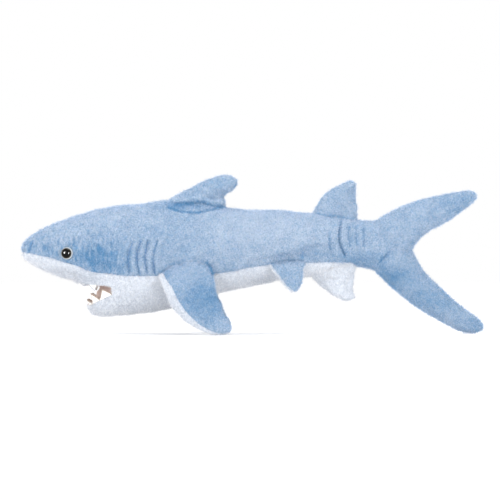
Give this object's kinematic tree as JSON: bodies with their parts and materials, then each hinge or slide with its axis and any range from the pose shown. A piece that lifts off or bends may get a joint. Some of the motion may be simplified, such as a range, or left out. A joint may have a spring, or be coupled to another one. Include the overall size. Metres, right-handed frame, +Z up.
{
  "type": "plush shark",
  "caption": "Stuffed plush shark with a blue back, white belly, open mouth with felt teeth, and soft fins, jaw and tail that bend at their seams.",
  "frame": {"origin": "on the surface the toy rests on, under the middle of its bounding box", "axes": "+X from the nose to the tail, +Y from the toy's left flank to its right flank, +Z up"},
  "size_m": [0.4617, 0.1564, 0.159],
  "materials": {
    "blue_plush": "short-pile plush, pale blue, matt with a soft sheen",
    "white_plush": "short-pile plush, white, matt",
    "white_felt": "thin pressed felt with cut edges, off-white",
    "mouth_felt": "thin felt, pinkish tan",
    "filling": "loose polyester fibre",
    "thread": "sewing thread, teal blue",
    "eye_dome": "polished clear plastic over an olive ring",
    "eye_black": "polished black plastic",
    "washer_plastic": "plain moulded plastic"
  },
  "bodies": {
    "torso": {"side_panel_left": "blue_plush", "side_panel_right": "blue_plush", "snout_panel": "white_plush", "belly_panel": "white_plush", "torso_filling": "filling", "palate_lining": "mouth_felt", "upper_teeth": "white_felt", "eye_left_back": "eye_black", "eye_left_dome": "eye_dome", "eye_left_washer": "washer_plastic", "eye_right_back": "eye_black", "eye_right_dome": "eye_dome", "eye_right_washer": "washer_plastic", "gill_stitch_left_1": "thread", "gill_stitch_left_2": "thread", "gill_stitch_left_3": "thread", "gill_stitch_left_4": "thread", "nostril_stitch_left": "thread", "gill_stitch_right_1": "thread", "gill_stitch_right_2": "thread", "gill_stitch_right_3": "thread", "gill_stitch_right_4": "thread", "nostril_stitch_right": "thread"},
    "jaw": {"chin_panel": "white_plush", "chin_filling": "filling", "jaw_lining": "mouth_felt", "lower_teeth": "white_felt"},
    "tail": {"tail_panel_left": "blue_plush", "tail_panel_right": "blue_plush", "tail_filling": "filling"},
    "dorsal_fin": {"dorsal_panel_left": "blue_plush", "dorsal_panel_right": "blue_plush", "dorsal_filling": "filling"},
    "second_dorsal_fin": {"second_dorsal_panel_left": "blue_plush", "second_dorsal_panel_right": "blue_plush", "second_dorsal_filling": "filling"},
    "anal_fin": {"anal_panel_left": "white_plush", "anal_panel_right": "white_plush", "anal_filling": "filling"},
    "pectoral_left": {"pectoral_left_outer_panel": "blue_plush", "pectoral_left_under_panel": "white_plush", "pectoral_left_filling": "filling"},
    "pectoral_right": {"pectoral_right_outer_panel": "blue_plush", "pectoral_right_under_panel": "white_plush", "pectoral_right_filling": "filling"},
    "pelvic_left": {"pelvic_left_outer_panel": "blue_plush", "pelvic_left_under_panel": "white_plush", "pelvic_left_filling": "filling"},
    "pelvic_right": {"pelvic_right_outer_panel": "blue_plush", "pelvic_right_under_panel": "white_plush", "pelvic_right_filling": "filling"}
  },
  "joints": [
    {"name": "jaw_hinge", "type": "hinge", "parent": "torso", "child": "jaw", "pos_m": [-0.135, 0, 0.044], "axis": [0, -1, 0], "range_deg": [-12, 14], "stiffness_Nm_per_rad": 0.02},
    {"name": "tail_bend", "type": "hinge", "parent": "torso", "child": "tail", "pos_m": [0.108, 0, 0.09], "axis": [0, 0, 1], "range_deg": [-35, 35], "stiffness_Nm_per_rad": 0.5},
    {"name": "dorsal_lean", "type": "hinge", "parent": "torso", "child": "dorsal_fin", "pos_m": [-0.057, 0, 0.1326], "axis": [-0.9935, 0, 0.1137], "range_deg": [-35, 35], "stiffness_Nm_per_rad": 0.01},
    {"name": "second_dorsal_lean", "type": "hinge", "parent": "torso", "child": "second_dorsal_fin", "pos_m": [0.082, 0, 0.119], "axis": [-0.9914, 0, 0.1305], "range_deg": [-35, 35], "stiffness_Nm_per_rad": 0.01},
    {"name": "anal_lean", "type": "hinge", "parent": "torso", "child": "anal_fin", "pos_m": [0.08, 0, 0.0615], "axis": [0.981, 0, 0.194], "range_deg": [-35, 35], "stiffness_Nm_per_rad": 0.01},
    {"name": "pectoral_left_flap", "type": "hinge", "parent": "torso", "child": "pectoral_left", "pos_m": [-0.066, -0.042, 0.066], "axis": [-1, 0, 0], "range_deg": [-15, 60], "stiffness_Nm_per_rad": 0.25},
    {"name": "pectoral_right_flap", "type": "hinge", "parent": "torso", "child": "pectoral_right", "pos_m": [-0.066, 0.042, 0.066], "axis": [1, 0, 0], "range_deg": [-15, 60], "stiffness_Nm_per_rad": 0.25},
    {"name": "pelvic_left_flap", "type": "hinge", "parent": "torso", "child": "pelvic_left", "pos_m": [0.035, -0.03, 0.07], "axis": [-1, 0, 0], "range_deg": [-15, 45], "stiffness_Nm_per_rad": 0.01},
    {"name": "pelvic_right_flap", "type": "hinge", "parent": "torso", "child": "pelvic_right", "pos_m": [0.035, 0.03, 0.07], "axis": [1, 0, 0], "range_deg": [-15, 45], "stiffness_Nm_per_rad": 0.01}
  ]
}
